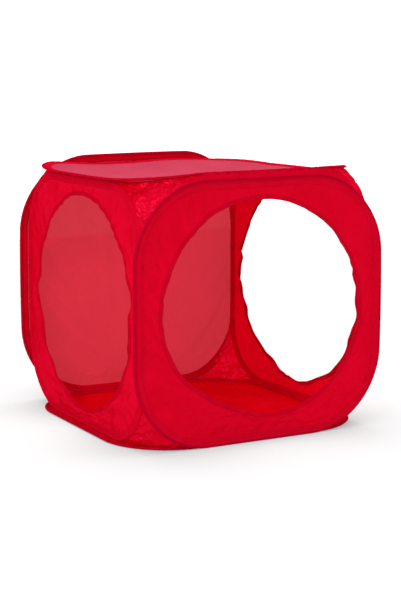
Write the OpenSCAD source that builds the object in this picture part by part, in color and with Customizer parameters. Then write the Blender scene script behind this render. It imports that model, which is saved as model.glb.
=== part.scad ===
// Pop-up play cube: six spring-steel hoops in sewn sleeves hold five sides
// and a lid of fabric open as a cube. Three sides have a round crawl-through
// opening. The back and the lid are sheer mesh. It stands on its floor.
// Millimetres, +Z up, origin at the middle of the underside. The front faces -Y.

/* [Cube] */
// Overall width, left to right
cube_w = 760; // [640:1:1000]
// Overall depth, front to back
cube_d = 770; // [640:1:1000]
// Overall height
cube_h = 730; // [640:1:1000]
// How far the front and back hoops stand out past the sides, and the back one
// above the lid
proud = 24; // [12:1:36]

/* [Hoops] */
// Diameter of the spring-steel wire
wire_d = 2.5; // [2:0.1:4]
// Radius of the rounded corners of the side hoops
corner_r = 190; // [120:1:230]
// Gap between the two ends of each wire, inside its ferrule
wire_end_gap = 0.6; // [0.4:0.1:2]
// Length of the crimped ferrule that closes each hoop
ferrule_l = 26; // [16:1:40]
// Wall of the ferrule tube
ferrule_wall = 0.7; // [0.4:0.1:1]

/* [Sleeves] */
// Wall of the sewn sleeve around the wire
sleeve_wall = 1; // [0.6:0.1:2]
// Clearance between the wire and its sleeve
wire_gap = 1.25; // [0.9:0.05:2]
// Width of the flat tape, from the wire to the panel
tape_w = 20; // [12:1:40]
// Thickness of the folded tape
tape_t = 1.4; // [1:0.1:2]
// Space left between neighbouring sleeves for the seam
seam_gap = 1; // [0.6:0.1:3]

/* [Panels] */
// Thickness of each fabric panel
fabric_t = 1; // [0.6:0.1:2]

/* [Round openings] */
// Clear diameter of the opening in the front wall
front_hole_d = 600; // [200:1:600]
// Clear diameter of the opening in the left wall
left_hole_d = 600; // [200:1:600]
// Clear diameter of the opening in the right wall
right_hole_d = 600; // [200:1:600]
// How far the middle of the openings lies above the middle of the side walls
hole_rise = 3; // [0:0.5:6]
// Width of the binding around each opening
hem_w = 12; // [8:1:20]
// Thickness of each leg of the folded binding
hem_leg = 0.8; // [0.5:0.1:2]
// Clearance between a panel edge and its binding
hem_gap = 0.2; // [0.1:0.1:0.5]

/* [Gussets] */
// Thickness of the corner gussets
gusset_t = 1; // [0.6:0.1:2]
// Clearance between a gusset and the sleeves around it
gusset_gap = 1; // [0.6:0.1:3]
// How far each sharp tip of a gusset is trimmed, from the corner middle
gusset_tip = 45; // [40:1:80]

/* [Lid travel] */
// Clearance between the lid and the walls it comes down between
lid_gap = 1; // [0.6:0.1:3]

/* [Hidden] */
$fn = 96;

wire_r = wire_d / 2;
bore_r = wire_r + wire_gap;
tube_r = bore_r + sleeve_wall;
ferrule_gap = 0.05;
ferrule_r = wire_r + ferrule_gap + ferrule_wall;

// how far a side hoop stands in from its neighbour's plane, so that two
// sleeves lie side by side along each edge of the cube
step = ceil(100 * (2 * tube_r + seam_gap) / sqrt(2)) / 100;

// front and back walls: the largest hoops, out to the overall size
front_y = cube_d / 2 - tube_r;
front_hx = cube_w / 2 - tube_r;
front_low = tube_r + step;
front_r = corner_r + proud;
back_hz = (cube_h - tube_r - front_low) / 2;
back_z = front_low + back_hz;

// lid: between the four walls, level with the top of the front hoop and
// below the top of the back one
lid_z = cube_h - tube_r - proud;
front_hz = (lid_z - front_low) / 2;
front_z = front_low + front_hz;
side_x = front_hx - proud;
lid_hx = side_x - 2 * tube_r - lid_gap;
lid_hy = front_y - 2 * tube_r - lid_gap;

// left and right walls: between the front and back ones, under the lid's level
side_hy = front_y - step;
side_low = tube_r + step;
side_hz = (lid_z - step - side_low) / 2;
side_z = side_low + side_hz;
hole_z = side_z + hole_rise;
lid_r = corner_r - (side_hy - lid_hy);

// floor: lies on the ground and reaches out under the left and right walls
floor_z = tube_r;
floor_hx = front_hx;
floor_hy = lid_hy;

// middles of the corner rounding, shared by the side hoops and the lid
corner_x = lid_hx - lid_r;
corner_y = side_hy - corner_r;
corner_z = side_hz - corner_r;

// a gusset is part of a ball around such a middle
gusset_x = 2 * tube_r + lid_gap + lid_r - tube_r - gusset_gap;
gusset_y = step + corner_r - tube_r - gusset_gap;
gusset_z = gusset_y;
gusset_in = sqrt(pow(lid_r + tube_r + lid_gap, 2) + pow(gusset_z, 2));

red = [0.84, 0.03, 0.13];
tape_red = [0.72, 0.02, 0.10];
mesh_red = [0.88, 0.24, 0.34];
steel = [0.62, 0.64, 0.66];

// ---- shapes that repeat ----

// rounded rectangle with half sizes hx, hy and corner radius r
module rounded(hx, hy, r) {
    square([2 * hx, 2 * (hy - r)], center = true);
    square([2 * (hx - r), 2 * hy], center = true);
    for (sx = [-1, 1], sy = [-1, 1])
        translate([sx * (hx - r), sy * (hy - r)]) circle(r = r);
}

// sweeps its 2D child around a rounded rectangle in the XY plane;
// the child's +X points out of the loop
module around(hx, hy, r) {
    for (k = [0, 1]) rotate([0, 0, 180 * k]) {
        translate([hx - r, hy - r, 0])
            rotate_extrude(angle = 90) translate([r, 0]) children();
        translate([-(hx - r), hy - r, 0]) rotate([0, 0, 90])
            rotate_extrude(angle = 90) translate([r, 0]) children();
        translate([hx, hy - r, 0]) rotate([90, 0, 0])
            linear_extrude(height = 2 * (hy - r)) children();
        translate([-(hx - r), hy, 0]) rotate([90, 0, 90])
            linear_extrude(height = 2 * (hx - r)) children();
    }
}

// closed wire loop, its ends meeting in the middle of the -Y side
module hoop(hx, hy, r) {
    color(steel) difference() {
        around(hx, hy, r) circle(r = wire_r);
        translate([0, -hy, 0])
            cube([wire_end_gap, 4 * wire_r, 4 * wire_r], center = true);
    }
}

// crimped tube over the two wire ends
module ferrule(hy) {
    color(steel) translate([-ferrule_l / 2, -hy, 0]) rotate([0, 90, 0])
        linear_extrude(height = ferrule_l) difference() {
            circle(r = ferrule_r);
            circle(r = wire_r + ferrule_gap);
        }
}

// sewn tape: a round channel for the wire and a flat tape to the panel
module sleeve(hx, hy, r) {
    color(tape_red) around(hx, hy, r) difference() {
        union() {
            circle(r = tube_r);
            translate([-tape_w, -tape_t / 2]) square([tape_w, tape_t]);
        }
        circle(r = bore_r);
    }
}

// flat panel inside the tape; the round hole sits hole_up above its middle
module panel(hx, hy, r, hole_r = 0, hole_up = 0) {
    translate([0, 0, -fabric_t / 2]) linear_extrude(height = fabric_t)
        difference() {
            rounded(hx - tape_w, hy - tape_w, r - tape_w);
            if (hole_r > 0) translate([0, hole_up]) circle(r = hole_r);
        }
}

// folded binding over the edge of a round opening
module hem(clear_r) {
    slot_t = fabric_t + 2 * hem_gap;
    color(tape_red) rotate_extrude() difference() {
        translate([clear_r, -slot_t / 2 - hem_leg])
            square([hem_w, slot_t + 2 * hem_leg]);
        translate([clear_r + hem_leg, -slot_t / 2])
            square([hem_w, slot_t]);
    }
}
function hole_edge(clear_d) = clear_d / 2 + hem_leg + hem_gap;

// ---- where each side lies: its local XY plane, +Z outwards ----

module at_front(z) translate([0, -front_y, z]) rotate([90, 0, 0]) children();
module at_back(z) translate([0, front_y, z]) rotate([90, 0, 180]) children();
module at_left(z) translate([-side_x, 0, z]) rotate([90, 0, -90]) children();
module at_right(z) translate([side_x, 0, z]) rotate([90, 0, 90]) children();
module at_floor() translate([0, 0, floor_z]) rotate([180, 0, 0]) children();
module at_lid() translate([0, 0, lid_z]) children();

// ---- floor ----

// the floor's fabric and tape hang to the underside of its hoop
module floor_panel() {
    color(red) translate([0, 0, fabric_t / 2])
        panel(floor_hx, floor_hy, corner_r);
}
module floor_sleeve() {
    color(tape_red) at_floor() around(floor_hx, floor_hy, corner_r)
        difference() {
            union() {
                circle(r = tube_r);
                translate([-tape_w, tube_r - tape_t]) square([tape_w, tape_t]);
            }
            circle(r = bore_r);
        }
}
module floor_hoop() at_floor() hoop(floor_hx, floor_hy, corner_r);
module floor_ferrule() at_floor() ferrule(floor_hy);

// ---- front wall ----

module front_panel() {
    color(red) at_front(front_z)
        panel(front_hx, front_hz, front_r, hole_edge(front_hole_d), hole_z - front_z);
}
module front_hem() at_front(hole_z) hem(front_hole_d / 2);
module front_sleeve() at_front(front_z) sleeve(front_hx, front_hz, front_r);
module front_hoop() at_front(front_z) hoop(front_hx, front_hz, front_r);
module front_ferrule() at_front(front_z) ferrule(front_hz);

// ---- left wall ----

module left_panel() {
    color(red) at_left(side_z)
        panel(side_hy, side_hz, corner_r, hole_edge(left_hole_d), hole_z - side_z);
}
module left_hem() at_left(hole_z) hem(left_hole_d / 2);
module left_sleeve() at_left(side_z) sleeve(side_hy, side_hz, corner_r);
module left_hoop() at_left(side_z) hoop(side_hy, side_hz, corner_r);
module left_ferrule() at_left(side_z) ferrule(side_hz);

// ---- right wall ----

module right_panel() {
    color(red) at_right(side_z)
        panel(side_hy, side_hz, corner_r, hole_edge(right_hole_d), hole_z - side_z);
}
module right_hem() at_right(hole_z) hem(right_hole_d / 2);
module right_sleeve() at_right(side_z) sleeve(side_hy, side_hz, corner_r);
module right_hoop() at_right(side_z) hoop(side_hy, side_hz, corner_r);
module right_ferrule() at_right(side_z) ferrule(side_hz);

// ---- back wall ----

module back_mesh() {
    color(mesh_red) at_back(back_z) panel(front_hx, back_hz, front_r);
}
module back_sleeve() at_back(back_z) sleeve(front_hx, back_hz, front_r);
module back_hoop() at_back(back_z) hoop(front_hx, back_hz, front_r);
module back_ferrule() at_back(back_z) ferrule(back_hz);

// ---- lid ----

module lid_mesh() color(mesh_red) at_lid() panel(lid_hx, lid_hy, lid_r);
module lid_sleeve() at_lid() sleeve(lid_hx, lid_hy, lid_r);
module lid_hoop() at_lid() hoop(lid_hx, lid_hy, lid_r);
module lid_ferrule() at_lid() ferrule(lid_hy);

// ---- corner gussets ----

// curved triangle of fabric between the three rounded hoops of a corner,
// its sharp tips trimmed square
module gusset(sx, sy, sz) {
    reach = [gusset_x, gusset_y, gusset_z];
    tip = [gusset_tip, gusset_tip, gusset_tip];
    mid = (reach + tip) / 2;
    color(red) translate([sx * corner_x, sy * corner_y, side_z + sz * corner_z])
        intersection() {
            difference() {
                sphere(r = gusset_in + gusset_t, $fn = 240);
                sphere(r = gusset_in, $fn = 240);
            }
            translate([sx * mid[0], sy * mid[1], sz * mid[2]])
                cube(reach - tip, center = true);
        }
}

floor_panel();
floor_sleeve();
floor_hoop();
floor_ferrule();
front_panel();
front_hem();
front_sleeve();
front_hoop();
front_ferrule();
left_panel();
left_hem();
left_sleeve();
left_hoop();
left_ferrule();
right_panel();
right_hem();
right_sleeve();
right_hoop();
right_ferrule();
back_mesh();
back_sleeve();
back_hoop();
back_ferrule();
lid_mesh();
lid_sleeve();
lid_hoop();
lid_ferrule();
gusset(-1, -1, -1);  // gusset_floor_front_left
gusset(1, -1, -1);  // gusset_floor_front_right
gusset(-1, 1, -1);  // gusset_floor_back_left
gusset(1, 1, -1);  // gusset_floor_back_right
gusset(-1, -1, 1);  // gusset_lid_front_left
gusset(1, -1, 1);  // gusset_lid_front_right
gusset(-1, 1, 1);  // gusset_lid_back_left
gusset(1, 1, 1);  // gusset_lid_back_right
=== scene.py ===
import math
import random

import bpy
import numpy as np
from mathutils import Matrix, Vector


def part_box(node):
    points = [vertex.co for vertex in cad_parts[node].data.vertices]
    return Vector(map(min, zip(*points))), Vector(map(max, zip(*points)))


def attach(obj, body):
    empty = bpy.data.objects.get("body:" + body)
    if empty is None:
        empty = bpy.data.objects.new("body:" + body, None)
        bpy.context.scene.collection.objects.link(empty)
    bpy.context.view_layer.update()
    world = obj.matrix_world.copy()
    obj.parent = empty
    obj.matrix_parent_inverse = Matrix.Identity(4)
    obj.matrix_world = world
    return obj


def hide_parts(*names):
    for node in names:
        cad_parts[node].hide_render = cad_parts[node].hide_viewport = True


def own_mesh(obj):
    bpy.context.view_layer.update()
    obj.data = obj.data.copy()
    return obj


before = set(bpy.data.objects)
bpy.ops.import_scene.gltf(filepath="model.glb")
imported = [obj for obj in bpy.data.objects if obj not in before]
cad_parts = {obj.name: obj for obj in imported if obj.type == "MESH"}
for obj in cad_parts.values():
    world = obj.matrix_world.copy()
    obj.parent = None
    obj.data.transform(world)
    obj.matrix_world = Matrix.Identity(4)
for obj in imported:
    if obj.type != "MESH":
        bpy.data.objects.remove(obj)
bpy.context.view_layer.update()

# ---------------------------------------------------------------- studio
# A white photo studio: seamless pale floor, white surroundings, one large
# soft light from the upper left, a weaker one from the right and a long one
# overhead. The camera stands to the left of the front wall, a little above the lid.
scene = bpy.context.scene
scene.view_settings.view_transform = "Standard"
scene.view_settings.look = "None"

camera_turn = math.radians(-28.8)
camera_rise = math.radians(9.0)
camera_reach = 4.245
look_at = Vector((0.0211, 0.0, 0.3312))
camera = bpy.data.objects.new("camera", bpy.data.cameras.new("camera"))
scene.collection.objects.link(camera)
away = Vector((
    math.sin(camera_turn) * math.cos(camera_rise),
    -math.cos(camera_turn) * math.cos(camera_rise),
    math.sin(camera_rise),
))
camera.location = look_at + away * camera_reach
camera.rotation_mode = "QUATERNION"
camera.rotation_quaternion = (-away).to_track_quat("-Z", "Y")
camera.data.sensor_width = 36.0
camera.data.lens = 86.9
camera.data.clip_end = 200.0
scene.camera = camera

world = bpy.data.worlds.new("studio")
world.use_nodes = True
world.node_tree.nodes["Background"].inputs["Color"].default_value = (1.0, 1.0, 1.0, 1.0)
world.node_tree.nodes["Background"].inputs["Strength"].default_value = 0.6
scene.world = world


def soft_light(name, at, towards, width, height, watts):
    lamp = bpy.data.lights.new(name, "AREA")
    lamp.shape = "RECTANGLE"
    lamp.size = width
    lamp.size_y = height
    lamp.energy = watts
    holder = bpy.data.objects.new(name, lamp)
    scene.collection.objects.link(holder)
    holder.location = at
    aim = Vector(towards) - Vector(at)
    holder.rotation_mode = "QUATERNION"
    holder.rotation_quaternion = aim.to_track_quat("-Z", "Y")


soft_light("key_light", (-3.0, -2.5, 2.5), (0.0, 0.0, 0.35), 1.6, 1.6, 84.0)
soft_light("fill_light", (3.2, -2.0, 1.6), (0.0, 0.0, 0.35), 1.8, 1.8, 22.0)
soft_light("top_light", (0.2, 0.8, 3.0), (0.0, 0.0, 0.5), 2.0, 1.2, 34.0)

floor_mesh = bpy.data.meshes.new("studio_floor")
floor_reach = 4.4
floor_mesh.from_pydata(
    [(-floor_reach, -floor_reach, 0), (floor_reach, -floor_reach, 0),
     (floor_reach, floor_reach, 0), (-floor_reach, floor_reach, 0)],
    [], [(0, 1, 2, 3)])
studio_floor = bpy.data.objects.new("studio_floor", floor_mesh)
scene.collection.objects.link(studio_floor)
JUST_BELOW = 0.0005
studio_floor.location.z = -JUST_BELOW
pale = bpy.data.materials.new("studio_floor")
pale.use_nodes = True
pale_tree = pale.node_tree
pale_paper = pale_tree.nodes["Principled BSDF"]
pale_paper.inputs["Base Color"].default_value = (0.93, 0.93, 0.93, 1.0)
pale_paper.inputs["Roughness"].default_value = 0.9
# Painted shadow: an ambient-occlusion ramp turns the floor's white glow grey near the cube, a neutral contact
# shadow.
painted_shadow_ao = pale_tree.nodes.new("ShaderNodeAmbientOcclusion")
painted_shadow_ao.inputs["Distance"].default_value = 0.36
painted_shadow_ao.samples = 12
painted_shadow_tone = pale_tree.nodes.new("ShaderNodeValToRGB")
painted_shadow_tone.color_ramp.elements[0].color = (0.26, 0.28, 0.29, 1.0)
painted_shadow_tone.color_ramp.elements[1].color = (1.0, 1.0, 1.0, 1.0)
floor_glow_and_painted_shadow = pale_tree.nodes.new("ShaderNodeEmission")
floor_glow_and_painted_shadow.inputs["Strength"].default_value = 1.05
pale_mix = pale_tree.nodes.new("ShaderNodeMixShader")
pale_mix.inputs[0].default_value = 0.82
pale_tree.links.new(painted_shadow_ao.outputs["AO"], painted_shadow_tone.inputs["Fac"])
pale_tree.links.new(painted_shadow_tone.outputs["Color"], floor_glow_and_painted_shadow.inputs["Color"])
pale_tree.links.new(pale_paper.outputs["BSDF"], pale_mix.inputs[1])
pale_tree.links.new(floor_glow_and_painted_shadow.outputs[0], pale_mix.inputs[2])
pale_tree.links.new(pale_mix.outputs[0], pale_tree.nodes["Material Output"].inputs["Surface"])
floor_mesh.materials.append(pale)

backdrop_mesh = bpy.data.meshes.new("studio_backdrop")
backdrop_mesh.from_pydata([(-9, 0, -1), (9, 0, -1), (9, 0, 9), (-9, 0, 9)], [], [(0, 1, 2, 3)])
studio_backdrop = bpy.data.objects.new("studio_backdrop", backdrop_mesh)
scene.collection.objects.link(studio_backdrop)
backdrop_reach = 6.5
studio_backdrop.location = (
    -backdrop_reach * math.sin(camera_turn), backdrop_reach * math.cos(camera_turn), 0.0)
studio_backdrop.rotation_euler = (0.0, 0.0, camera_turn)
lit_paper = bpy.data.materials.new("studio_backdrop")
lit_paper.use_nodes = True
lit_shader = lit_paper.node_tree.nodes["Principled BSDF"]
lit_shader.inputs["Emission Color"].default_value = (1.0, 1.0, 1.0, 1.0)
lit_shader.inputs["Emission Strength"].default_value = 1.0
backdrop_mesh.materials.append(lit_paper)

# ------------------------------------------------------------ wire hoops
# Six loops of 2.5 mm spring-steel wire keep the cube open. Each is one
# length of wire bent to a rounded square; the ends meet in a ferrule that
# is crimped flat-sided over them. All of them are hidden in the sleeves.
WIRE = 0.00125
SIDE_CORNER = 0.190
FRONT_CORNER = 0.214
LID_CORNER = 0.18766
HALF_WIDE = 0.38
HALF_DEEP = 0.385
TALL = 0.73
STATIONS = 480


def plan(node):
    """The plane of a hoop and its sizes, read from the frame."""
    low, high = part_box(node)
    low, high = np.array(low), np.array(high)
    middle, half = (low + high) / 2, (high - low) / 2
    n = int(np.argmin(half))
    u, v = [k for k in range(3) if k != n]
    out = np.zeros(3)
    out[n] = 1.0 if middle[n] > 0.1 else -1.0
    axes = np.eye(3)
    return {"middle": middle, "u": axes[u], "v": axes[v], "out": out,
            "hu": half[u] - WIRE, "hv": half[v] - WIRE}


def rounded_line(hu, hv, r, count):
    """Evenly spaced points round a rounded square, with outward directions.
    It starts at the middle of the low side and runs towards +u."""
    straight = [hu - r, 2 * (hv - r), 2 * (hu - r), 2 * (hv - r), hu - r]
    bend = math.pi * r / 2
    spans = []
    for k, length in enumerate(straight):
        spans.append(("line", k, length))
        if k < 4:
            spans.append(("bend", k, bend))
    total = sum(s[2] for s in spans)
    points, outs, run = [], [], []
    starts = {0: (0.0, -hv), 1: (hu, -(hv - r)), 2: (hu - r, hv), 3: (-hu, hv - r), 4: (-(hu - r), -hv)}
    ways = {0: (1, 0), 1: (0, 1), 2: (-1, 0), 3: (0, -1), 4: (1, 0)}
    middles = {0: (hu - r, -(hv - r)), 1: (hu - r, hv - r), 2: (-(hu - r), hv - r),
               3: (-(hu - r), -(hv - r))}
    for i in range(count):
        s = total * i / count
        run.append(s)
        for kind, k, length in spans:
            if s <= length:
                break
            s -= length
        if kind == "line":
            (a, b), (c, d) = starts[k], ways[k]
            points.append((a + c * s, b + d * s))
            outs.append((d, -c))
        else:
            turn = s / r + math.radians(-90 + 90 * k)
            points.append((middles[k][0] + r * math.cos(turn), middles[k][1] + r * math.sin(turn)))
            outs.append((math.cos(turn), math.sin(turn)))
    return np.array(points), np.array(outs), np.array(run), total


def hoop_line(node, corner):
    p = plan(node)
    flat, outs, run, total = rounded_line(p["hu"], p["hv"], corner, STATIONS)
    at = p["middle"] + flat[:, :1] * p["u"] + flat[:, 1:] * p["v"]
    outs = outs[:, :1] * p["u"] + outs[:, 1:] * p["v"]
    return {"at": at, "outs": outs, "face": p["out"], "run": run, "total": total, "plan": p}


def rise(value, start, end):
    t = np.clip((value - start) / (end - start), 0, 1)
    return t * t * (3 - 2 * t)


# How far the standing cube strays from true, in metres.
BOW_SIDE = 0.007
BOW_END = 0.006
TOP_SAG = 0.010
LEAN = 0.003
ROLL = 0.004
PULLED_IN = 0.012
TALLER = 0.011
LID_OUT = 0.022
LID_LEFT = 0.008
LID_SIDES_UP = 0.005
FRONT_UP = 0.023
RIGHT_DOWN = 0.010
BACK_RIGHT_UP = 0.008
BACK_LEFT_UP = 0.014
END_FOOT = 0.005
SIDE_FOOT = 0.0038


def settle(points, side=""):
    """How the standing cube leans and bows: one smooth field for every piece,
    so that neighbours stay joined. The lid lies a little wider, out over the
    side walls, and its front edge stands up above the front hoop."""
    p = np.array(points, dtype=float)
    x, y, z = p[:, 0].copy(), p[:, 1].copy(), p[:, 2].copy()
    up = z / TALL
    belly = np.clip(4 * up * (1 - up), 0, 1)
    to_side = np.clip(np.abs(x) / HALF_WIDE, 0, 1) ** 2
    to_end = np.clip(np.abs(y) / HALF_DEEP, 0, 1) ** 2
    p[:, 0] += BOW_SIDE * np.sign(x) * to_side * belly
    p[:, 1] += BOW_END * np.sign(y) * to_end * belly
    p[:, 2] -= up * (TOP_SAG * (1 - to_side) * (1 - to_end))
    p[:, 0] += LEAN * np.sin(5.0 * y + 1.0) * up
    p[:, 1] += LEAN * np.sin(6.0 * x + 0.5) * up
    p[:, 2] += ROLL * up * np.sin(4.1 * x + 2.6 * y)
    p[:, 0] -= PULLED_IN * rise(x, 0.0, 0.37) * rise(y, 0.0, 0.37) * rise(belly, 0.0, 0.4)
    p[:, 2] += TALLER * up
    if side == "lid":
        p[:, 0] += (LID_OUT - LID_LEFT * np.sign(x)) * np.sign(x) * rise(np.abs(x), 0.05, 0.36)
        p[:, 2] += LID_SIDES_UP * rise(np.abs(x), 0.20, 0.34)
    if side not in ("front", "back"):
        fore = rise(-y, 0.08, 0.34)
        lift = FRONT_UP * rise(x, -0.38, -0.14) * (1 - 0.5 * rise(x, 0.20, 0.36)) * fore
        lift -= RIGHT_DOWN * rise(x, 0.05, 0.33) * (1 - fore)
        lift += BACK_RIGHT_UP * rise(x, -0.05, 0.20) * rise(y, 0.16, 0.35)
        lift += BACK_LEFT_UP * rise(-x, 0.10, 0.32) * rise(y, 0.16, 0.35)
        p[:, 2] += lift * rise(z, 0.50, 0.69)
    if side in ("front", "back"):
        p[:, 2] -= END_FOOT * rise(-z, -0.35, 0.0)
    if side in ("left", "right"):
        p[:, 2] -= SIDE_FOOT * rise(-z, -0.30, 0.0)
    return p


def make_piece(name, points, faces, finish):
    mesh = bpy.data.meshes.new(name)
    mesh.from_pydata([tuple(p) for p in points], [], [tuple(f) for f in faces])
    piece = bpy.data.objects.new(name, mesh)
    scene.collection.objects.link(piece)
    mesh.polygons.foreach_set("use_smooth", [True] * len(mesh.polygons))
    mesh.materials.append(finish)
    mesh.update()
    return piece


def ring_faces(stations, around):
    faces = []
    for i in range(stations):
        j = (i + 1) % stations
        for k in range(around):
            m = (k + 1) % around
            faces.append((i * around + k, j * around + k, j * around + m, i * around + m))
    return faces


def steel_finish():
    """Drawn spring steel: grey, faintly streaked along the wire."""
    m = bpy.data.materials.new("spring_steel")
    m.use_nodes = True
    nodes, links = m.node_tree.nodes, m.node_tree.links
    shader = nodes["Principled BSDF"]
    shader.inputs["Metallic"].default_value = 1.0
    streaks = nodes.new("ShaderNodeTexNoise")
    streaks.inputs["Scale"].default_value = 900.0
    streaks.inputs["Detail"].default_value = 3.0
    tint = nodes.new("ShaderNodeValToRGB")
    tint.color_ramp.elements[0].color = (0.42, 0.43, 0.45, 1.0)
    tint.color_ramp.elements[1].color = (0.66, 0.67, 0.69, 1.0)
    rough = nodes.new("ShaderNodeMapRange")
    rough.inputs["To Min"].default_value = 0.25
    rough.inputs["To Max"].default_value = 0.45
    links.new(streaks.outputs["Fac"], tint.inputs["Fac"])
    links.new(tint.outputs["Color"], shader.inputs["Base Color"])
    links.new(streaks.outputs["Fac"], rough.inputs["Value"])
    links.new(rough.outputs["Result"], shader.inputs["Roughness"])
    return m


steel = steel_finish()
HOOPS = {
    "floor": ("floor_hoop", SIDE_CORNER),
    "front": ("front_hoop", FRONT_CORNER),
    "left": ("left_hoop", SIDE_CORNER),
    "right": ("right_hoop", SIDE_CORNER),
    "back": ("back_hoop", FRONT_CORNER),
    "lid": ("lid_hoop", LID_CORNER),
}
lines = {side: hoop_line(node, corner) for side, (node, corner) in HOOPS.items()}


def joins(piece, side):
    """Hangs a piece on its body: the lid's own pieces ride on the lid, the
    floor's and the walls' pieces on the cube, and the walls get a mesh of their own."""
    if side == "lid":
        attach(piece, "lid")
    else:
        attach(piece, "cube")
        if side != "floor":
            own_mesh(piece)


def round_bar(name, side, at, radial, face, radius, sides, caps=False):
    points, stations = [], len(at)
    for k in range(stations):
        for i in range(sides):
            turn = 2 * math.pi * i / sides
            points.append(at[k] + radius[k] * (math.cos(turn) * radial[k] + math.sin(turn) * face))
    faces = ring_faces(stations, sides)
    if caps:
        faces = [f for f in faces if not (max(f) >= (stations - 1) * sides and min(f) < sides)]
        faces += [tuple(range(sides))[::-1], tuple(range((stations - 1) * sides, stations * sides))]
    return make_piece(name, settle(points, side), faces, steel)


for side, line in lines.items():
    wire = round_bar(side + "_wire", side, line["at"], line["outs"], line["face"],
                     np.full(STATIONS, WIRE), 8)
    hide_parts(side + "_hoop")
    joins(wire, side)
    way = line["at"][1] - line["at"][0]
    way /= np.linalg.norm(way)
    # The ferrule is a short barrel with a crimped groove near each end.
    along = np.array([-13, -12.6, -9.5, -8.5, -7.5, -2, 2, 7.5, 8.5, 9.5, 12.6, 13]) / 1000
    thick = np.array([1.7, 2.0, 2.0, 1.6, 2.0, 2.0, 2.0, 2.0, 1.6, 2.0, 2.0, 1.7]) / 1000
    start = line["at"][0]
    ferrule = round_bar(side + "_crimp", side, start + along[:, None] * way,
                        np.repeat(line["outs"][:1], 12, 0), line["face"], thick, 16, caps=True)
    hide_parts(side + "_ferrule")
    joins(ferrule, side)

# --------------------------------------------------------- front wall
# Red polyester taffeta with a round crawl-through opening, cut from one
# piece and sewn into the sleeve all round. The light cloth is a little
# larger than its hoop, so it puckers from the seams and round the opening.
TAPE_W = 0.020
TUCK = 0.004
HOLE_R = 0.300
CLOTH_STIFF = 12.0
SEAM_RING = 0.0045
BAND = 0.07


def pucker(run, total, seed, waves=5, lowest=9, highest=70):
    """Uneven gathers along a seam: a sum of waves that closes on itself."""
    r = random.Random(seed)
    out = np.zeros_like(run)
    for _ in range(waves):
        cycles = r.randint(lowest, highest)
        out += r.uniform(0.4, 1.0) * np.sin(2 * math.pi * cycles * run / total + r.uniform(0, 6.28))
    return out / waves


def swell(run, total, seed, waves=4):
    """Where along a seam the gathers are strong and where they fade, 0 to 1."""
    r = random.Random(seed)
    out = np.full_like(run, 0.5)
    for _ in range(waves):
        out += 0.25 * np.sin(2 * math.pi * r.randint(2, 9) * run / total + r.uniform(0, 6.28))
    return np.clip(out, 0.05, 1.0)


def hang(piece, held, spare, frames=24, bend=0.35, fall=1.0):
    """Lets the cloth take its own shape: it is 'spare' larger than the space
    it is sewn into, held at its seams, and pulled down by its weight."""
    group = piece.vertex_groups.new(name="held")
    group.add([int(i) for i in held], 1.0, "REPLACE")
    cloth = piece.modifiers.new("cloth", "CLOTH")
    s = cloth.settings
    s.quality = 5
    s.mass = 0.02
    s.effector_weights.gravity = fall
    s.tension_stiffness = CLOTH_STIFF
    s.compression_stiffness = CLOTH_STIFF
    s.shear_stiffness = CLOTH_STIFF * 0.6
    s.bending_stiffness = bend
    s.tension_damping = 6.0
    s.compression_damping = 6.0
    s.shear_damping = 6.0
    s.bending_damping = 0.6
    s.air_damping = 4.0
    s.shrink_min = -spare
    s.vertex_group_mass = "held"
    cloth.collision_settings.use_collision = False
    cloth.collision_settings.use_self_collision = False
    cloth.point_cache.frame_start = 1
    cloth.point_cache.frame_end = frames
    for f in range(1, frames + 1):
        scene.frame_set(f)
    shown = piece.evaluated_get(bpy.context.evaluated_depsgraph_get())
    out = np.empty(len(piece.data.vertices) * 3)
    shown.data.vertices.foreach_get("co", out)
    piece.modifiers.remove(cloth)
    piece.vertex_groups.remove(group)
    scene.frame_set(1)
    piece.data.vertices.foreach_set("co", out)
    piece.data.update()


def places(piece):
    out = np.empty(len(piece.data.vertices) * 3)
    piece.data.vertices.foreach_get("co", out)
    return out.reshape(-1, 3)


def put(piece, points):
    piece.data.vertices.foreach_set("co", np.asarray(points, dtype=np.float32).ravel())
    piece.data.update()


def add_run(piece, run_of, across_of):
    """Lays a run along the seam (u) and a distance across it (v), in metres,
    on every corner, for stitches that follow the seam."""
    uv = piece.data.uv_layers.new(name="seam")
    index = np.empty(len(piece.data.loops), dtype=np.int32)
    piece.data.loops.foreach_get("vertex_index", index)
    both = np.stack([np.asarray(run_of)[index], np.asarray(across_of)[index]], -1)
    uv.data.foreach_set("uv", both.ravel())


class Finish:
    """A material being put together, node by node."""

    def __init__(self, name):
        self.material = bpy.data.materials.new(name)
        self.material.use_nodes = True
        self.tree = self.material.node_tree
        self.shader = self.tree.nodes["Principled BSDF"]
        self.place = self.node("ShaderNodeTexCoord")

    def node(self, kind, **values):
        n = self.tree.nodes.new(kind)
        for key, value in values.items():
            name = key.replace("_", " ")
            if name in n.inputs:
                n.inputs[name].default_value = value
            else:
                setattr(n, key, value)
        return n

    def link(self, a, b):
        self.tree.links.new(a, b)

    def sum(self, *parts):
        total = parts[0]
        for p in parts[1:]:
            add = self.node("ShaderNodeMath", operation="ADD")
            self.link(total, add.inputs[0])
            self.link(p, add.inputs[1])
            total = add.outputs[0]
        return total

    def times(self, part, factor):
        mul = self.node("ShaderNodeMath", operation="MULTIPLY")
        self.link(part, mul.inputs[0])
        mul.inputs[1].default_value = factor
        return mul.outputs[0]


def weave(f, pitch):
    """Crossing threads, as height: fine ribs along each axis of the object."""
    parts = []
    for axis in ("X", "Y", "Z"):
        w = f.node("ShaderNodeTexWave", wave_type="BANDS", bands_direction=axis)
        w.inputs["Scale"].default_value = 0.314 / pitch
        w.inputs["Distortion"].default_value = 0.6
        w.inputs["Detail"].default_value = 1.0
        f.link(f.place.outputs["Object"], w.inputs["Vector"])
        parts.append(w.outputs["Fac"])
    return f.sum(*parts)


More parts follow.
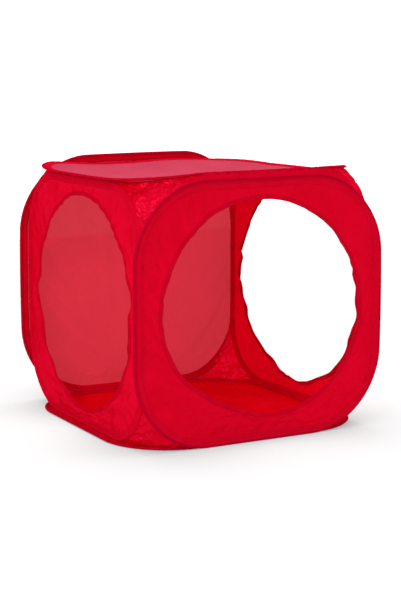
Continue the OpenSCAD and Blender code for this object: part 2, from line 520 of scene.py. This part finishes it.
def taffeta_finish(name, low, high, through, glow, gloss=0.09, rough=0.33, clear=0.0, crush=0.0):
    """Thin shiny cloth: dyed threads that gloss in their own colour, and
    daylight coming through from behind."""
    f = Finish(name)
    s = f.shader
    s.inputs["Roughness"].default_value = 0.6
    s.inputs["Specular IOR Level"].default_value = 0.0
    drift = f.node("ShaderNodeTexNoise", Scale=7.0, Detail=5.0, Roughness=0.6)
    f.link(f.place.outputs["Object"], drift.inputs["Vector"])
    tint = f.node("ShaderNodeValToRGB")
    tint.color_ramp.elements[0].position = 0.35
    tint.color_ramp.elements[0].color = (*low, 1.0)
    tint.color_ramp.elements[1].position = 0.68
    tint.color_ramp.elements[1].color = (*high, 1.0)
    f.link(drift.outputs["Fac"], tint.inputs["Fac"])
    f.link(tint.outputs["Color"], s.inputs["Base Color"])
    threads = f.times(weave(f, 0.00045), 0.00006)
    creases = f.node("ShaderNodeTexNoise", Scale=26.0, Detail=4.0, Roughness=0.55, Distortion=0.8)
    f.link(f.place.outputs["Object"], creases.inputs["Vector"])
    folds = f.node("ShaderNodeTexNoise", Scale=9.0, Detail=2.0, Roughness=0.5, Distortion=1.6)
    f.link(f.place.outputs["Object"], folds.inputs["Vector"])
    height = f.sum(threads, f.times(creases.outputs["Fac"], 0.0022), f.times(folds.outputs["Fac"], 0.006))
    if crush:
        facets = f.node("ShaderNodeTexNoise", Scale=9.0, Detail=1.2, Roughness=0.45, Distortion=0.7)
        f.link(f.place.outputs["Object"], facets.inputs["Vector"])
        middle = f.node("ShaderNodeMath", operation="SUBTRACT")
        middle.inputs[1].default_value = 0.5
        f.link(facets.outputs["Fac"], middle.inputs[0])
        ridge = f.node("ShaderNodeMath", operation="ABSOLUTE")
        f.link(middle.outputs[0], ridge.inputs[0])
        height = f.sum(height, f.times(ridge.outputs[0], crush))
    bump = f.node("ShaderNodeBump", Strength=0.55, Distance=1.0)
    f.link(height, bump.inputs["Height"])
    f.link(bump.outputs["Normal"], s.inputs["Normal"])
    lit = f.node("ShaderNodeBsdfTranslucent")
    lit.inputs["Color"].default_value = (*glow, 1.0)
    f.link(bump.outputs["Normal"], lit.inputs["Normal"])
    mix = f.node("ShaderNodeMixShader")
    mix.inputs[0].default_value = through
    f.link(s.outputs["BSDF"], mix.inputs[1])
    f.link(lit.outputs["BSDF"], mix.inputs[2])
    last = mix
    if gloss:
        shine = f.node("ShaderNodeBsdfAnisotropic", Roughness=rough)
        shine.inputs["Color"].default_value = (1.0, 0.012, 0.08, 1.0)
        f.link(bump.outputs["Normal"], shine.inputs["Normal"])
        last = f.node("ShaderNodeMixShader")
        last.inputs[0].default_value = gloss
        f.link(mix.outputs[0], last.inputs[1])
        f.link(shine.outputs[0], last.inputs[2])
    if clear:
        gap = f.node("ShaderNodeBsdfTransparent")
        open_weave = f.node("ShaderNodeMixShader")
        open_weave.inputs[0].default_value = clear
        f.link(last.outputs[0], open_weave.inputs[1])
        f.link(gap.outputs[0], open_weave.inputs[2])
        last = open_weave
    f.link(last.outputs[0], f.tree.nodes["Material Output"].inputs["Surface"])
    return f.material


taffeta = taffeta_finish("taffeta", (0.60, 0.0002, 0.012), (0.71, 0.0003, 0.018), 0.34,
                         (0.84, 0.0003, 0.014), crush=0.020)
crushed = taffeta_finish("crushed_taffeta", (0.62, 0.0003, 0.013), (0.76, 0.0006, 0.020), 0.36,
                         (0.90, 0.0004, 0.016), gloss=0.16, rough=0.28, crush=0.060)


def holed_panel(side, seed, spare, hole_wobble, pulls, finish):
    """One wall with a round opening: rings of cloth from the sleeve inwards.
    Where the cloth hangs slack the opening is out of round: each of 'pulls'
    is a bearing in degrees, how wide it reaches and how far it comes in."""
    line = lines[side]
    n = STATIONS
    p = line["plan"]
    low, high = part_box(side + "_hem")
    middle = (np.array(low) + np.array(high)) / 2
    middle = middle * (1 - np.abs(line["face"])) + p["middle"] * np.abs(line["face"])
    edge = line["at"] - line["outs"] * (TAPE_W - TUCK)
    spoke = edge - middle
    angle = np.arctan2(spoke @ p["v"], spoke @ p["u"])
    r = random.Random(seed)
    wobble = np.zeros(n)
    for cycles in (2, 3, 5, 8, 11, 15, 19):
        wobble += r.uniform(0.3, 1.0) * np.sin(cycles * angle + r.uniform(0, 6.28)) / cycles ** 0.5
    hole = HOLE_R + 0.002 + hole_wobble * wobble / 2
    for bearing, reach, depth in pulls:
        off = np.degrees(angle) - bearing
        off = (off + 180) % 360 - 180
        hole -= depth * np.exp(-(off / reach) ** 2)
    spoke_way = spoke / np.linalg.norm(spoke, axis=1)[:, None]
    inner = middle + spoke_way * hole[:, None]
    steps = [0.0, SEAM_RING / BAND, 2 * SEAM_RING / BAND]
    rings = 16
    body = np.linspace(steps[-1], 1.0, rings)[1:]
    shares = np.array(steps + list(body))
    gathers = pucker(line["run"], line["total"], seed) * swell(line["run"], line["total"], seed + 5)
    gathers = gathers * (1 + 1.4 * np.sin(2 * angle) ** 2)
    points = []
    for share in shares:
        here = edge + (inner - edge) * share
        fade = math.sin(math.pi * min(share * 1.6, 1.0)) * (1 - 0.5 * share)
        points.append(here + line["face"] * (gathers * 0.0050 * fade)[:, None])
    points = np.concatenate(points)
    faces = []
    for i in range(len(shares) - 1):
        for j in range(n):
            k = (j + 1) % n
            faces.append((i * n + j, i * n + k, (i + 1) * n + k, (i + 1) * n + j))
    if np.dot(np.cross(p["u"], p["v"]), line["face"]) < 0:
        faces = [f[::-1] for f in faces]
    panel = make_piece(side + "_cloth", points, faces, finish)
    hang(panel, range(3 * n), spare)
    return panel, len(shares)


def whole_panel(side, seed, spare, finish, edge_pull=1.0, sag=0.0, fall=1.0):
    """One side without an opening: a square grid of cloth fitted to its sleeve."""
    cells = 108
    line = lines[side]
    p = line["plan"]
    edge = line["at"] - line["outs"] * (TAPE_W - TUCK)
    flat = np.stack([(edge - p["middle"]) @ p["u"], (edge - p["middle"]) @ p["v"]], -1)
    bearing = np.unwrap(np.arctan2(flat[:, 1], flat[:, 0]))
    reach = np.hypot(flat[:, 0], flat[:, 1])
    wide, tall = np.abs(flat[:, 0]).max(), np.abs(flat[:, 1]).max()
    a, b = np.meshgrid(np.linspace(-1, 1, cells), np.linspace(-1, 1, cells), indexing="ij")
    a, b = a.ravel(), b.ravel()
    out = np.maximum(np.abs(a), np.abs(b))
    x, y = a * wide, b * tall
    turn = np.arctan2(y, x)
    turn = np.where(turn < bearing[0], turn + 2 * math.pi, turn)
    bearings = np.append(bearing, bearing[0] + 2 * math.pi)
    limit = np.interp(turn, bearings, np.append(reach, reach[0]))
    run = np.interp(turn, bearings, np.append(line["run"], line["total"]))
    square = np.hypot(x, y) / np.maximum(out, 1e-6)
    share = (limit / np.maximum(square, 1e-6)) ** (out ** 3)
    share[out < 1e-6] = 1.0
    x, y = x * share, y * share
    inward = limit - np.hypot(x, y)
    gathers = (pucker(run, line["total"], seed, 6, 12, 90)
               * swell(run, line["total"], seed + 3))
    height = edge_pull * 0.004 * gathers * np.exp(-inward / 0.055) * np.clip(inward / 0.010, 0, 1)
    height -= sag * np.clip(inward / 0.10, 0, 1) ** 0.7 * 0.5
    points = p["middle"] + x[:, None] * p["u"] + y[:, None] * p["v"] + height[:, None] * line["face"]
    faces = []
    for i in range(cells - 1):
        for j in range(cells - 1):
            k = i * cells + j
            faces.append((k, k + cells, k + cells + 1, k + 1))
    if np.dot(np.cross(p["u"], p["v"]), line["face"]) < 0:
        faces = [f[::-1] for f in faces]
    panel = make_piece(side + "_cloth", points, faces, finish)
    hang(panel, np.nonzero(out > 1 - 3.2 / cells)[0], spare, fall=fall)
    return panel


def soften(piece, levels=1):
    smooth = piece.modifiers.new("soft", "SUBSURF")
    smooth.levels = levels
    smooth.render_levels = levels


def tape_finish(name, low, high, rows, edge=None):
    """Folded polyester tape: fine cross ribs and rows of lock stitches. The
    round channel over a wire can take painted shade: the edge colour, standing in
    for the shade and the backlight held back by the folded plies."""
    f = Finish(name)
    s = f.shader
    s.inputs["Roughness"].default_value = 0.6
    s.inputs["Specular IOR Level"].default_value = 0.0
    seam = f.node("ShaderNodeSeparateXYZ")
    f.link(f.place.outputs["UV"], seam.inputs["Vector"])
    shade = f.node("ShaderNodeTexNoise", Scale=30.0, Detail=4.0)
    f.link(f.place.outputs["Object"], shade.inputs["Vector"])
    tint = f.node("ShaderNodeValToRGB")
    tint.color_ramp.elements[0].position = 0.3
    tint.color_ramp.elements[0].color = (*low, 1.0)
    tint.color_ramp.elements[1].position = 0.7
    tint.color_ramp.elements[1].color = (*high, 1.0)
    f.link(shade.outputs["Fac"], tint.inputs["Fac"])
    ribs = f.node("ShaderNodeMath", operation="SINE")
    f.link(f.times(seam.outputs["X"], 2 * math.pi / 0.0011), ribs.inputs[0])
    dash = f.node("ShaderNodeMath", operation="PINGPONG")
    dash.inputs[1].default_value = 0.00175
    f.link(seam.outputs["X"], dash.inputs[0])
    along = f.node("ShaderNodeMath", operation="LESS_THAN")
    along.inputs[1].default_value = 0.00125
    f.link(dash.outputs[0], along.inputs[0])
    marks = None
    for row in rows:
        off = f.node("ShaderNodeMath", operation="SUBTRACT")
        off.inputs[1].default_value = row
        f.link(seam.outputs["Y"], off.inputs[0])
        size = f.node("ShaderNodeMath", operation="ABSOLUTE")
        f.link(off.outputs[0], size.inputs[0])
        near = f.node("ShaderNodeMath", operation="LESS_THAN")
        near.inputs[1].default_value = 0.0004
        f.link(size.outputs[0], near.inputs[0])
        stitch = f.node("ShaderNodeMath", operation="MULTIPLY")
        f.link(near.outputs[0], stitch.inputs[0])
        f.link(along.outputs[0], stitch.inputs[1])
        marks = stitch.outputs[0] if marks is None else f.sum(marks, stitch.outputs[0])
    thread = f.node("ShaderNodeMix", data_type="RGBA")
    thread.inputs[7].default_value = (0.50, 0.004, 0.02, 1.0)
    f.link(marks, thread.inputs[0])
    ground = tint.outputs["Color"]
    # Painted shade: the round channel over the wire takes the deeper edge colour.
    if edge:
        channel = f.node("ShaderNodeMapRange", From_Min=-0.0050, From_Max=-0.0015)
        f.link(seam.outputs["Y"], channel.inputs["Value"])
        painted_channel_shade = f.node("ShaderNodeMix", data_type="RGBA")
        painted_channel_shade.inputs[7].default_value = (*edge, 1.0)
        f.link(ground, painted_channel_shade.inputs[6])
        ground = painted_channel_shade.outputs[2]
        beyond = f.node("ShaderNodeMapRange", From_Min=0.0048, From_Max=0.0070,
                        To_Min=1.0, To_Max=0.0)
        f.link(seam.outputs["Y"], beyond.inputs["Value"])
        channel_shade_mask = f.node("ShaderNodeMath", operation="MULTIPLY")
        f.link(channel.outputs["Result"], channel_shade_mask.inputs[0])
        f.link(beyond.outputs["Result"], channel_shade_mask.inputs[1])
        f.link(channel_shade_mask.outputs[0], painted_channel_shade.inputs[0])
    f.link(ground, thread.inputs[6])
    f.link(thread.outputs[2], s.inputs["Base Color"])
    crinkle = f.node("ShaderNodeTexNoise", Scale=70.0, Detail=3.0, Distortion=0.6)
    f.link(f.place.outputs["Object"], crinkle.inputs["Vector"])
    height = f.sum(f.times(ribs.outputs[0], 0.00003), f.times(marks, 0.00035),
                   f.times(crinkle.outputs["Fac"], 0.0018))
    bump = f.node("ShaderNodeBump", Strength=0.6, Distance=1.0)
    f.link(height, bump.inputs["Height"])
    f.link(bump.outputs["Normal"], s.inputs["Normal"])
    lit = f.node("ShaderNodeBsdfTranslucent")
    lit.inputs["Color"].default_value = (0.8, 0.0004, 0.02, 1.0)
    mix = f.node("ShaderNodeMixShader")
    mix.inputs[0].default_value = 0.12
    f.link(s.outputs["BSDF"], mix.inputs[1])
    f.link(lit.outputs["BSDF"], mix.inputs[2])
    shine = f.node("ShaderNodeBsdfAnisotropic", Roughness=0.38)
    shine.inputs["Color"].default_value = (1.0, 0.02, 0.10, 1.0)
    f.link(bump.outputs["Normal"], shine.inputs["Normal"])
    both = f.node("ShaderNodeMixShader")
    both.inputs[0].default_value = 0.05
    f.link(mix.outputs[0], both.inputs[1])
    f.link(shine.outputs[0], both.inputs[2])
    f.link(both.outputs[0], f.tree.nodes["Material Output"].inputs["Surface"])
    return f.material


# The edge colour is painted shade on the round channel over the wire.
TAPE = tape_finish("binding_tape", (0.58, 0.0002, 0.012), (0.66, 0.0003, 0.016),
                   (-0.0065, -0.0170), edge=(0.45, 0.0003, 0.013))
# The side walls' tape has no painted channel shade and is a touch lighter.
SIDE_TAPE = tape_finish("side_tape", (0.60, 0.0002, 0.013), (0.70, 0.0003, 0.018), (-0.0065, -0.0170))


def sewn_sleeve(side, seed, seam):
    """The folded tape round one hoop: a round channel for the wire, two
    plies flat together inwards, and a narrow seam allowance outwards, 'seam'
    wide at each place along it."""
    line = lines[side]
    seam = np.broadcast_to(seam, STATIONS)
    # Half of the section: how far across in metres, and its half thickness in mm.
    upper = [(-TAPE_W, 0.5), (-TAPE_W + 0.0006, 0.95), (-0.0172, 0.8), (-0.0168, 0.95),
             (-0.013, 1.0), (-0.009, 1.0), (-0.0067, 0.8), (-0.0062, 1.0),
             (-0.0048, 1.9), (-0.0030, 3.0), (-0.0010, 3.8),
             (0.0012, 3.75), (0.0028, 2.8), (0.0037, 1.5), (0.0041, 0.5), (0.0041, 0.45), (0.0041, 0.4)]
    out_share = [0.0] * (len(upper) - 2) + [0.55, 1.0]
    shape = upper + [(a, -b) for a, b in reversed(upper)]
    out_share = np.array(out_share + out_share[::-1])
    across = np.array([a for a, b in shape])
    thick = np.array([b for a, b in shape]) / 1000
    wave = pucker(line["run"], line["total"], seed, 6, 20, 110)
    where = swell(line["run"], line["total"], seed + 1)
    fine = pucker(line["run"], line["total"], seed + 2, 6, 60, 190)
    points, runs, widths = [], [], []
    for k in range(STATIONS):
        flat = np.clip((-across - 0.004) / 0.016, 0, 1)
        lift = 0.0013 * wave[k] * where[k] * flat + 0.00045 * fine[k]
        inset = 0.0007 * fine[k] * (across < -0.015) + out_share * seam[k] * (1 + 0.25 * fine[k])
        lift = lift + out_share * seam[k] * 0.35 * wave[k]
        b = thick * (1 + 0.10 * fine[k]) + lift
        points.append(line["at"][k] + (across + inset)[:, None] * line["outs"][k] + b[:, None] * line["face"])
        runs.append(np.full(len(shape), line["run"][k]))
        widths.append(across + out_share * seam[k])
    sleeve = make_piece(side + "_tape", settle(np.concatenate(points), side),
                        ring_faces(STATIONS, len(shape)),
                        SIDE_TAPE if side in ("left", "right") else TAPE)
    add_run(sleeve, np.concatenate(runs), np.concatenate(widths))
    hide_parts(side + "_sleeve")
    joins(sleeve, side)
    return sleeve


def opening_binding(side, shape, rings, seed):
    """The folded binding sewn over the raw edge of a round opening. It
    follows every pucker of the cloth that it closes."""
    line = lines[side]
    n = STATIONS
    edge = shape[(rings - 1) * n:]
    behind = shape[(rings - 3) * n:(rings - 2) * n]
    back = behind - edge
    back /= np.linalg.norm(back, axis=1)[:, None]
    ahead = np.roll(edge, -1, 0) - np.roll(edge, 1, 0)
    ahead /= np.linalg.norm(ahead, axis=1)[:, None]
    up = np.cross(ahead, back)
    up /= np.linalg.norm(up, axis=1)[:, None]
    # Half of the section, both measures in mm.
    profile = [(-1.9, 0.0), (-1.6, 0.55), (-0.8, 0.9), (1.0, 1.0), (5.0, 0.95), (8.6, 0.9),
               (9.4, 0.75), (9.8, 1.0), (10.2, 0.9), (10.4, 0.5)]
    profile += [(a, -b) for a, b in reversed(profile) if b]
    a = np.array([q[0] for q in profile]) / 1000
    b = np.array([q[1] for q in profile]) / 1000
    run = np.concatenate([[0], np.cumsum(np.linalg.norm(np.diff(edge, axis=0), axis=1))])
    ripple = pucker(run, run[-1] * (n + 1) / n, seed, 6, 40, 150)
    points = []
    for k in range(n):
        width = a * (1 + 0.08 * ripple[k])
        height = b + 0.0005 * ripple[k] * np.clip(a / 0.010, 0, 1)
        points.append(edge[k] + width[:, None] * back[k] + height[:, None] * up[k])
    piece = make_piece(side + "_binding", settle(np.concatenate(points), side),
                       ring_faces(n, len(profile)), BINDING)
    add_run(piece, np.repeat(run, len(profile)), np.tile(a, n))
    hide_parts(side + "_hem")
    joins(piece, side)
    return piece


BINDING = tape_finish("opening_binding", (0.50, 0.0002, 0.010), (0.60, 0.0003, 0.014), (0.0094,))


def wall_with_opening(side, seed, spare, wobble, pulls, seam, finish):
    cloth, rings = holed_panel(side, seed, spare, wobble, pulls, finish)
    shape = places(cloth)
    put(cloth, settle(shape, side))
    soften(cloth)
    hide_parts(side + "_panel")
    joins(cloth, side)
    sleeve = sewn_sleeve(side, seed + 1, seam)
    binding = opening_binding(side, shape, rings, seed + 2)


front_top = lines["front"]["at"]
stands_up = rise(front_top[:, 0], -0.27, -0.15) * rise(front_top[:, 2], 0.655, 0.695)
wall_with_opening("front", 11, 0.012, 0.006, [(-108, 42, 0.041), (0, 40, -0.006), (90, 35, 0.006)],
                  0.0006 + 0.020 * stands_up, taffeta)

# ------------------------------------------------- left and right walls
# The same taffeta and the same opening as the front, on smaller hoops that
# stand between the front and the back. Their sleeves are sewn to the front
# and back cloth through a narrow seam allowance.
wall_with_opening("left", 31, 0.014, 0.008, [(-90, 40, 0.006), (90, 40, 0.008)], 0.0015, crushed)
wall_with_opening("right", 52, 0.014, 0.008, [(0, 35, -0.014), (-90, 40, 0.014)], 0.0015, crushed)

# ----------------------------------------------------------- back wall
# Sheer woven mesh, lighter than the taffeta: daylight comes through it. It
# has no opening, and it is gathered a little into its sleeve.
sheer = taffeta_finish("sheer_mesh", (0.55, 0.012, 0.036), (0.63, 0.018, 0.044), 0.42,
                       (0.74, 0.020, 0.045), gloss=0.04, rough=0.5, clear=0.014)


def plain_side(side, seed, spare, finish, **how):
    cloth = whole_panel(side, seed, spare, finish, **how)
    put(cloth, settle(places(cloth), side))
    soften(cloth)
    joins(cloth, side)
    return cloth


back_cloth = plain_side("back", 71, 0.008, sheer, edge_pull=2.4)
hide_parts("back_mesh")
back_sleeve = sewn_sleeve("back", 73, 0.0006)

# ----------------------------------------------------------------- lid
# The same kind of sheer mesh on the smallest hoop. Its paler, pinkish-white
# tint is a painted reflection of the white surroundings, seen at a grazing
# angle. It hangs a little in the middle and lies below the top of the back hoop.
lid_sheer_painted_reflection = taffeta_finish("lid_mesh", (0.52, 0.068, 0.125), (0.60, 0.085, 0.150), 0.42,
                           (0.72, 0.07, 0.125), gloss=0.04, rough=0.5, clear=0.02)
lid_cloth = plain_side("lid", 91, 0.006, lid_sheer_painted_reflection, sag=0.010)
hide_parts("lid_mesh")
lid_sleeve = sewn_sleeve("lid", 93, 0.0032)

# --------------------------------------------------------------- floor
# Taffeta again, lying on the ground. Its hoop reaches out under the side
# walls, so a rounded lip shows at the foot of the left and right walls.
floor_taffeta = taffeta_finish("floor_taffeta", (0.70, 0.0002, 0.007), (0.82, 0.0004, 0.011), 0.05,
                               (0.90, 0.0003, 0.014), gloss=0.0)
floor_cloth = plain_side("floor", 101, 0.003, floor_taffeta, edge_pull=0.3, fall=0.0)
UNDERSIDE = 0.0006
on_ground = places(floor_cloth)
on_ground[:, 2] = UNDERSIDE + 0.5 * np.abs(on_ground[:, 2] - UNDERSIDE)
put(floor_cloth, on_ground)
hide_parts("floor_panel")
floor_sleeve = sewn_sleeve("floor", 103, 0.0015)

# ------------------------------------------------------ corner gussets
# Where three rounded hoops meet, a curved triangle of taffeta closes the
# corner. It is cut generously, so it crumples between the seams.
front_plan, left_plan, lid_plan = lines["front"]["plan"], lines["left"]["plan"], lines["lid"]["plan"]
FRONT_Y = abs(front_plan["middle"][1])
SIDE_Z = left_plan["middle"][2]
corner_middle = np.array([lid_plan["hu"] - LID_CORNER, left_plan["hu"] - SIDE_CORNER,
                          left_plan["hv"] - SIDE_CORNER])
GUSSET_ARC = 0.1935
GUSSET_CELLS = 44


def gusset_net():
    """A triangle of cells between three quarter circles, evenly relaxed."""
    n = GUSSET_CELLS
    reach = FRONT_Y - corner_middle[1]
    index, where = {}, []
    for i in range(n + 1):
        for j in range(n + 1 - i):
            index[i, j] = len(where)
            k = n - i - j
            where.append((i, j, k))
    where = np.array(where, dtype=float) / n
    points = np.zeros((len(where), 3))
    fixed = np.zeros(len(where), dtype=bool)

    def arcs(axis, share):
        turn = share * math.pi / 2
        p = np.zeros((len(share), 3))
        p[:, axis] = reach
        p[:, (axis + 1) % 3] = GUSSET_ARC * np.cos(turn)
        p[:, (axis + 2) % 3] = GUSSET_ARC * np.sin(turn)
        return p

    i, j, k = where.T
    for axis, zero, share in ((0, i, k), (1, k, j), (2, j, i)):
        on = zero < 1e-9
        points[on] = arcs(axis, share[on])
        fixed |= on
    start = np.stack([j + k, i + j, i + k], -1)
    inner = ~fixed
    points[inner] = start[inner] / np.linalg.norm(start[inner], axis=1)[:, None] * reach * 1.4
    faces, near = [], [set() for _ in where]
    for a in range(n):
        for b in range(n - a):
            one = (index[a, b], index[a + 1, b], index[a, b + 1])
            faces.append(one)
            if a + b < n - 1:
                faces.append((index[a + 1, b], index[a + 1, b + 1], index[a, b + 1]))
    for f in faces:
        for m in range(3):
            near[f[m]].update((f[m - 1], f[m - 2]))
    rows = [np.array(sorted(s)) for s in near]
    ball = math.hypot(reach, GUSSET_ARC)
    for _ in range(160):
        mean = np.array([points[r].mean(0) for r in rows])
        points[inner] = mean[inner]
        points[inner] *= (ball / np.linalg.norm(points[inner], axis=1))[:, None]
    return points, faces, fixed


net, net_faces, net_edge = gusset_net()
for high in ("floor", "lid"):
    for deep_name in ("front", "back"):
        for wide_name in ("left", "right"):
            name = "gusset_" + high + "_" + deep_name + "_" + wide_name
            sign = np.array([-1 if wide_name == "left" else 1,
                             -1 if deep_name == "front" else 1,
                             -1 if high == "floor" else 1])
            middle = np.array([0, 0, SIDE_Z]) + corner_middle * sign
            points = middle + net * sign
            order = net_faces if sign.prod() > 0 else [f[::-1] for f in net_faces]
            r = random.Random(name)
            rough = np.array([r.uniform(-1, 1) for _ in range(len(net))])
            outward = net / np.linalg.norm(net, axis=1)[:, None] * sign
            points = points + outward * (rough * 0.0012 * ~net_edge)[:, None]
            gusset = make_piece(name + "_cloth", points, order, crushed)
            hang(gusset, np.nonzero(net_edge)[0], 0.060, frames=30, bend=0.08)
            put(gusset, settle(places(gusset)))
            soften(gusset)
            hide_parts(name)
            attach(gusset, "cube")
            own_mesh(gusset)
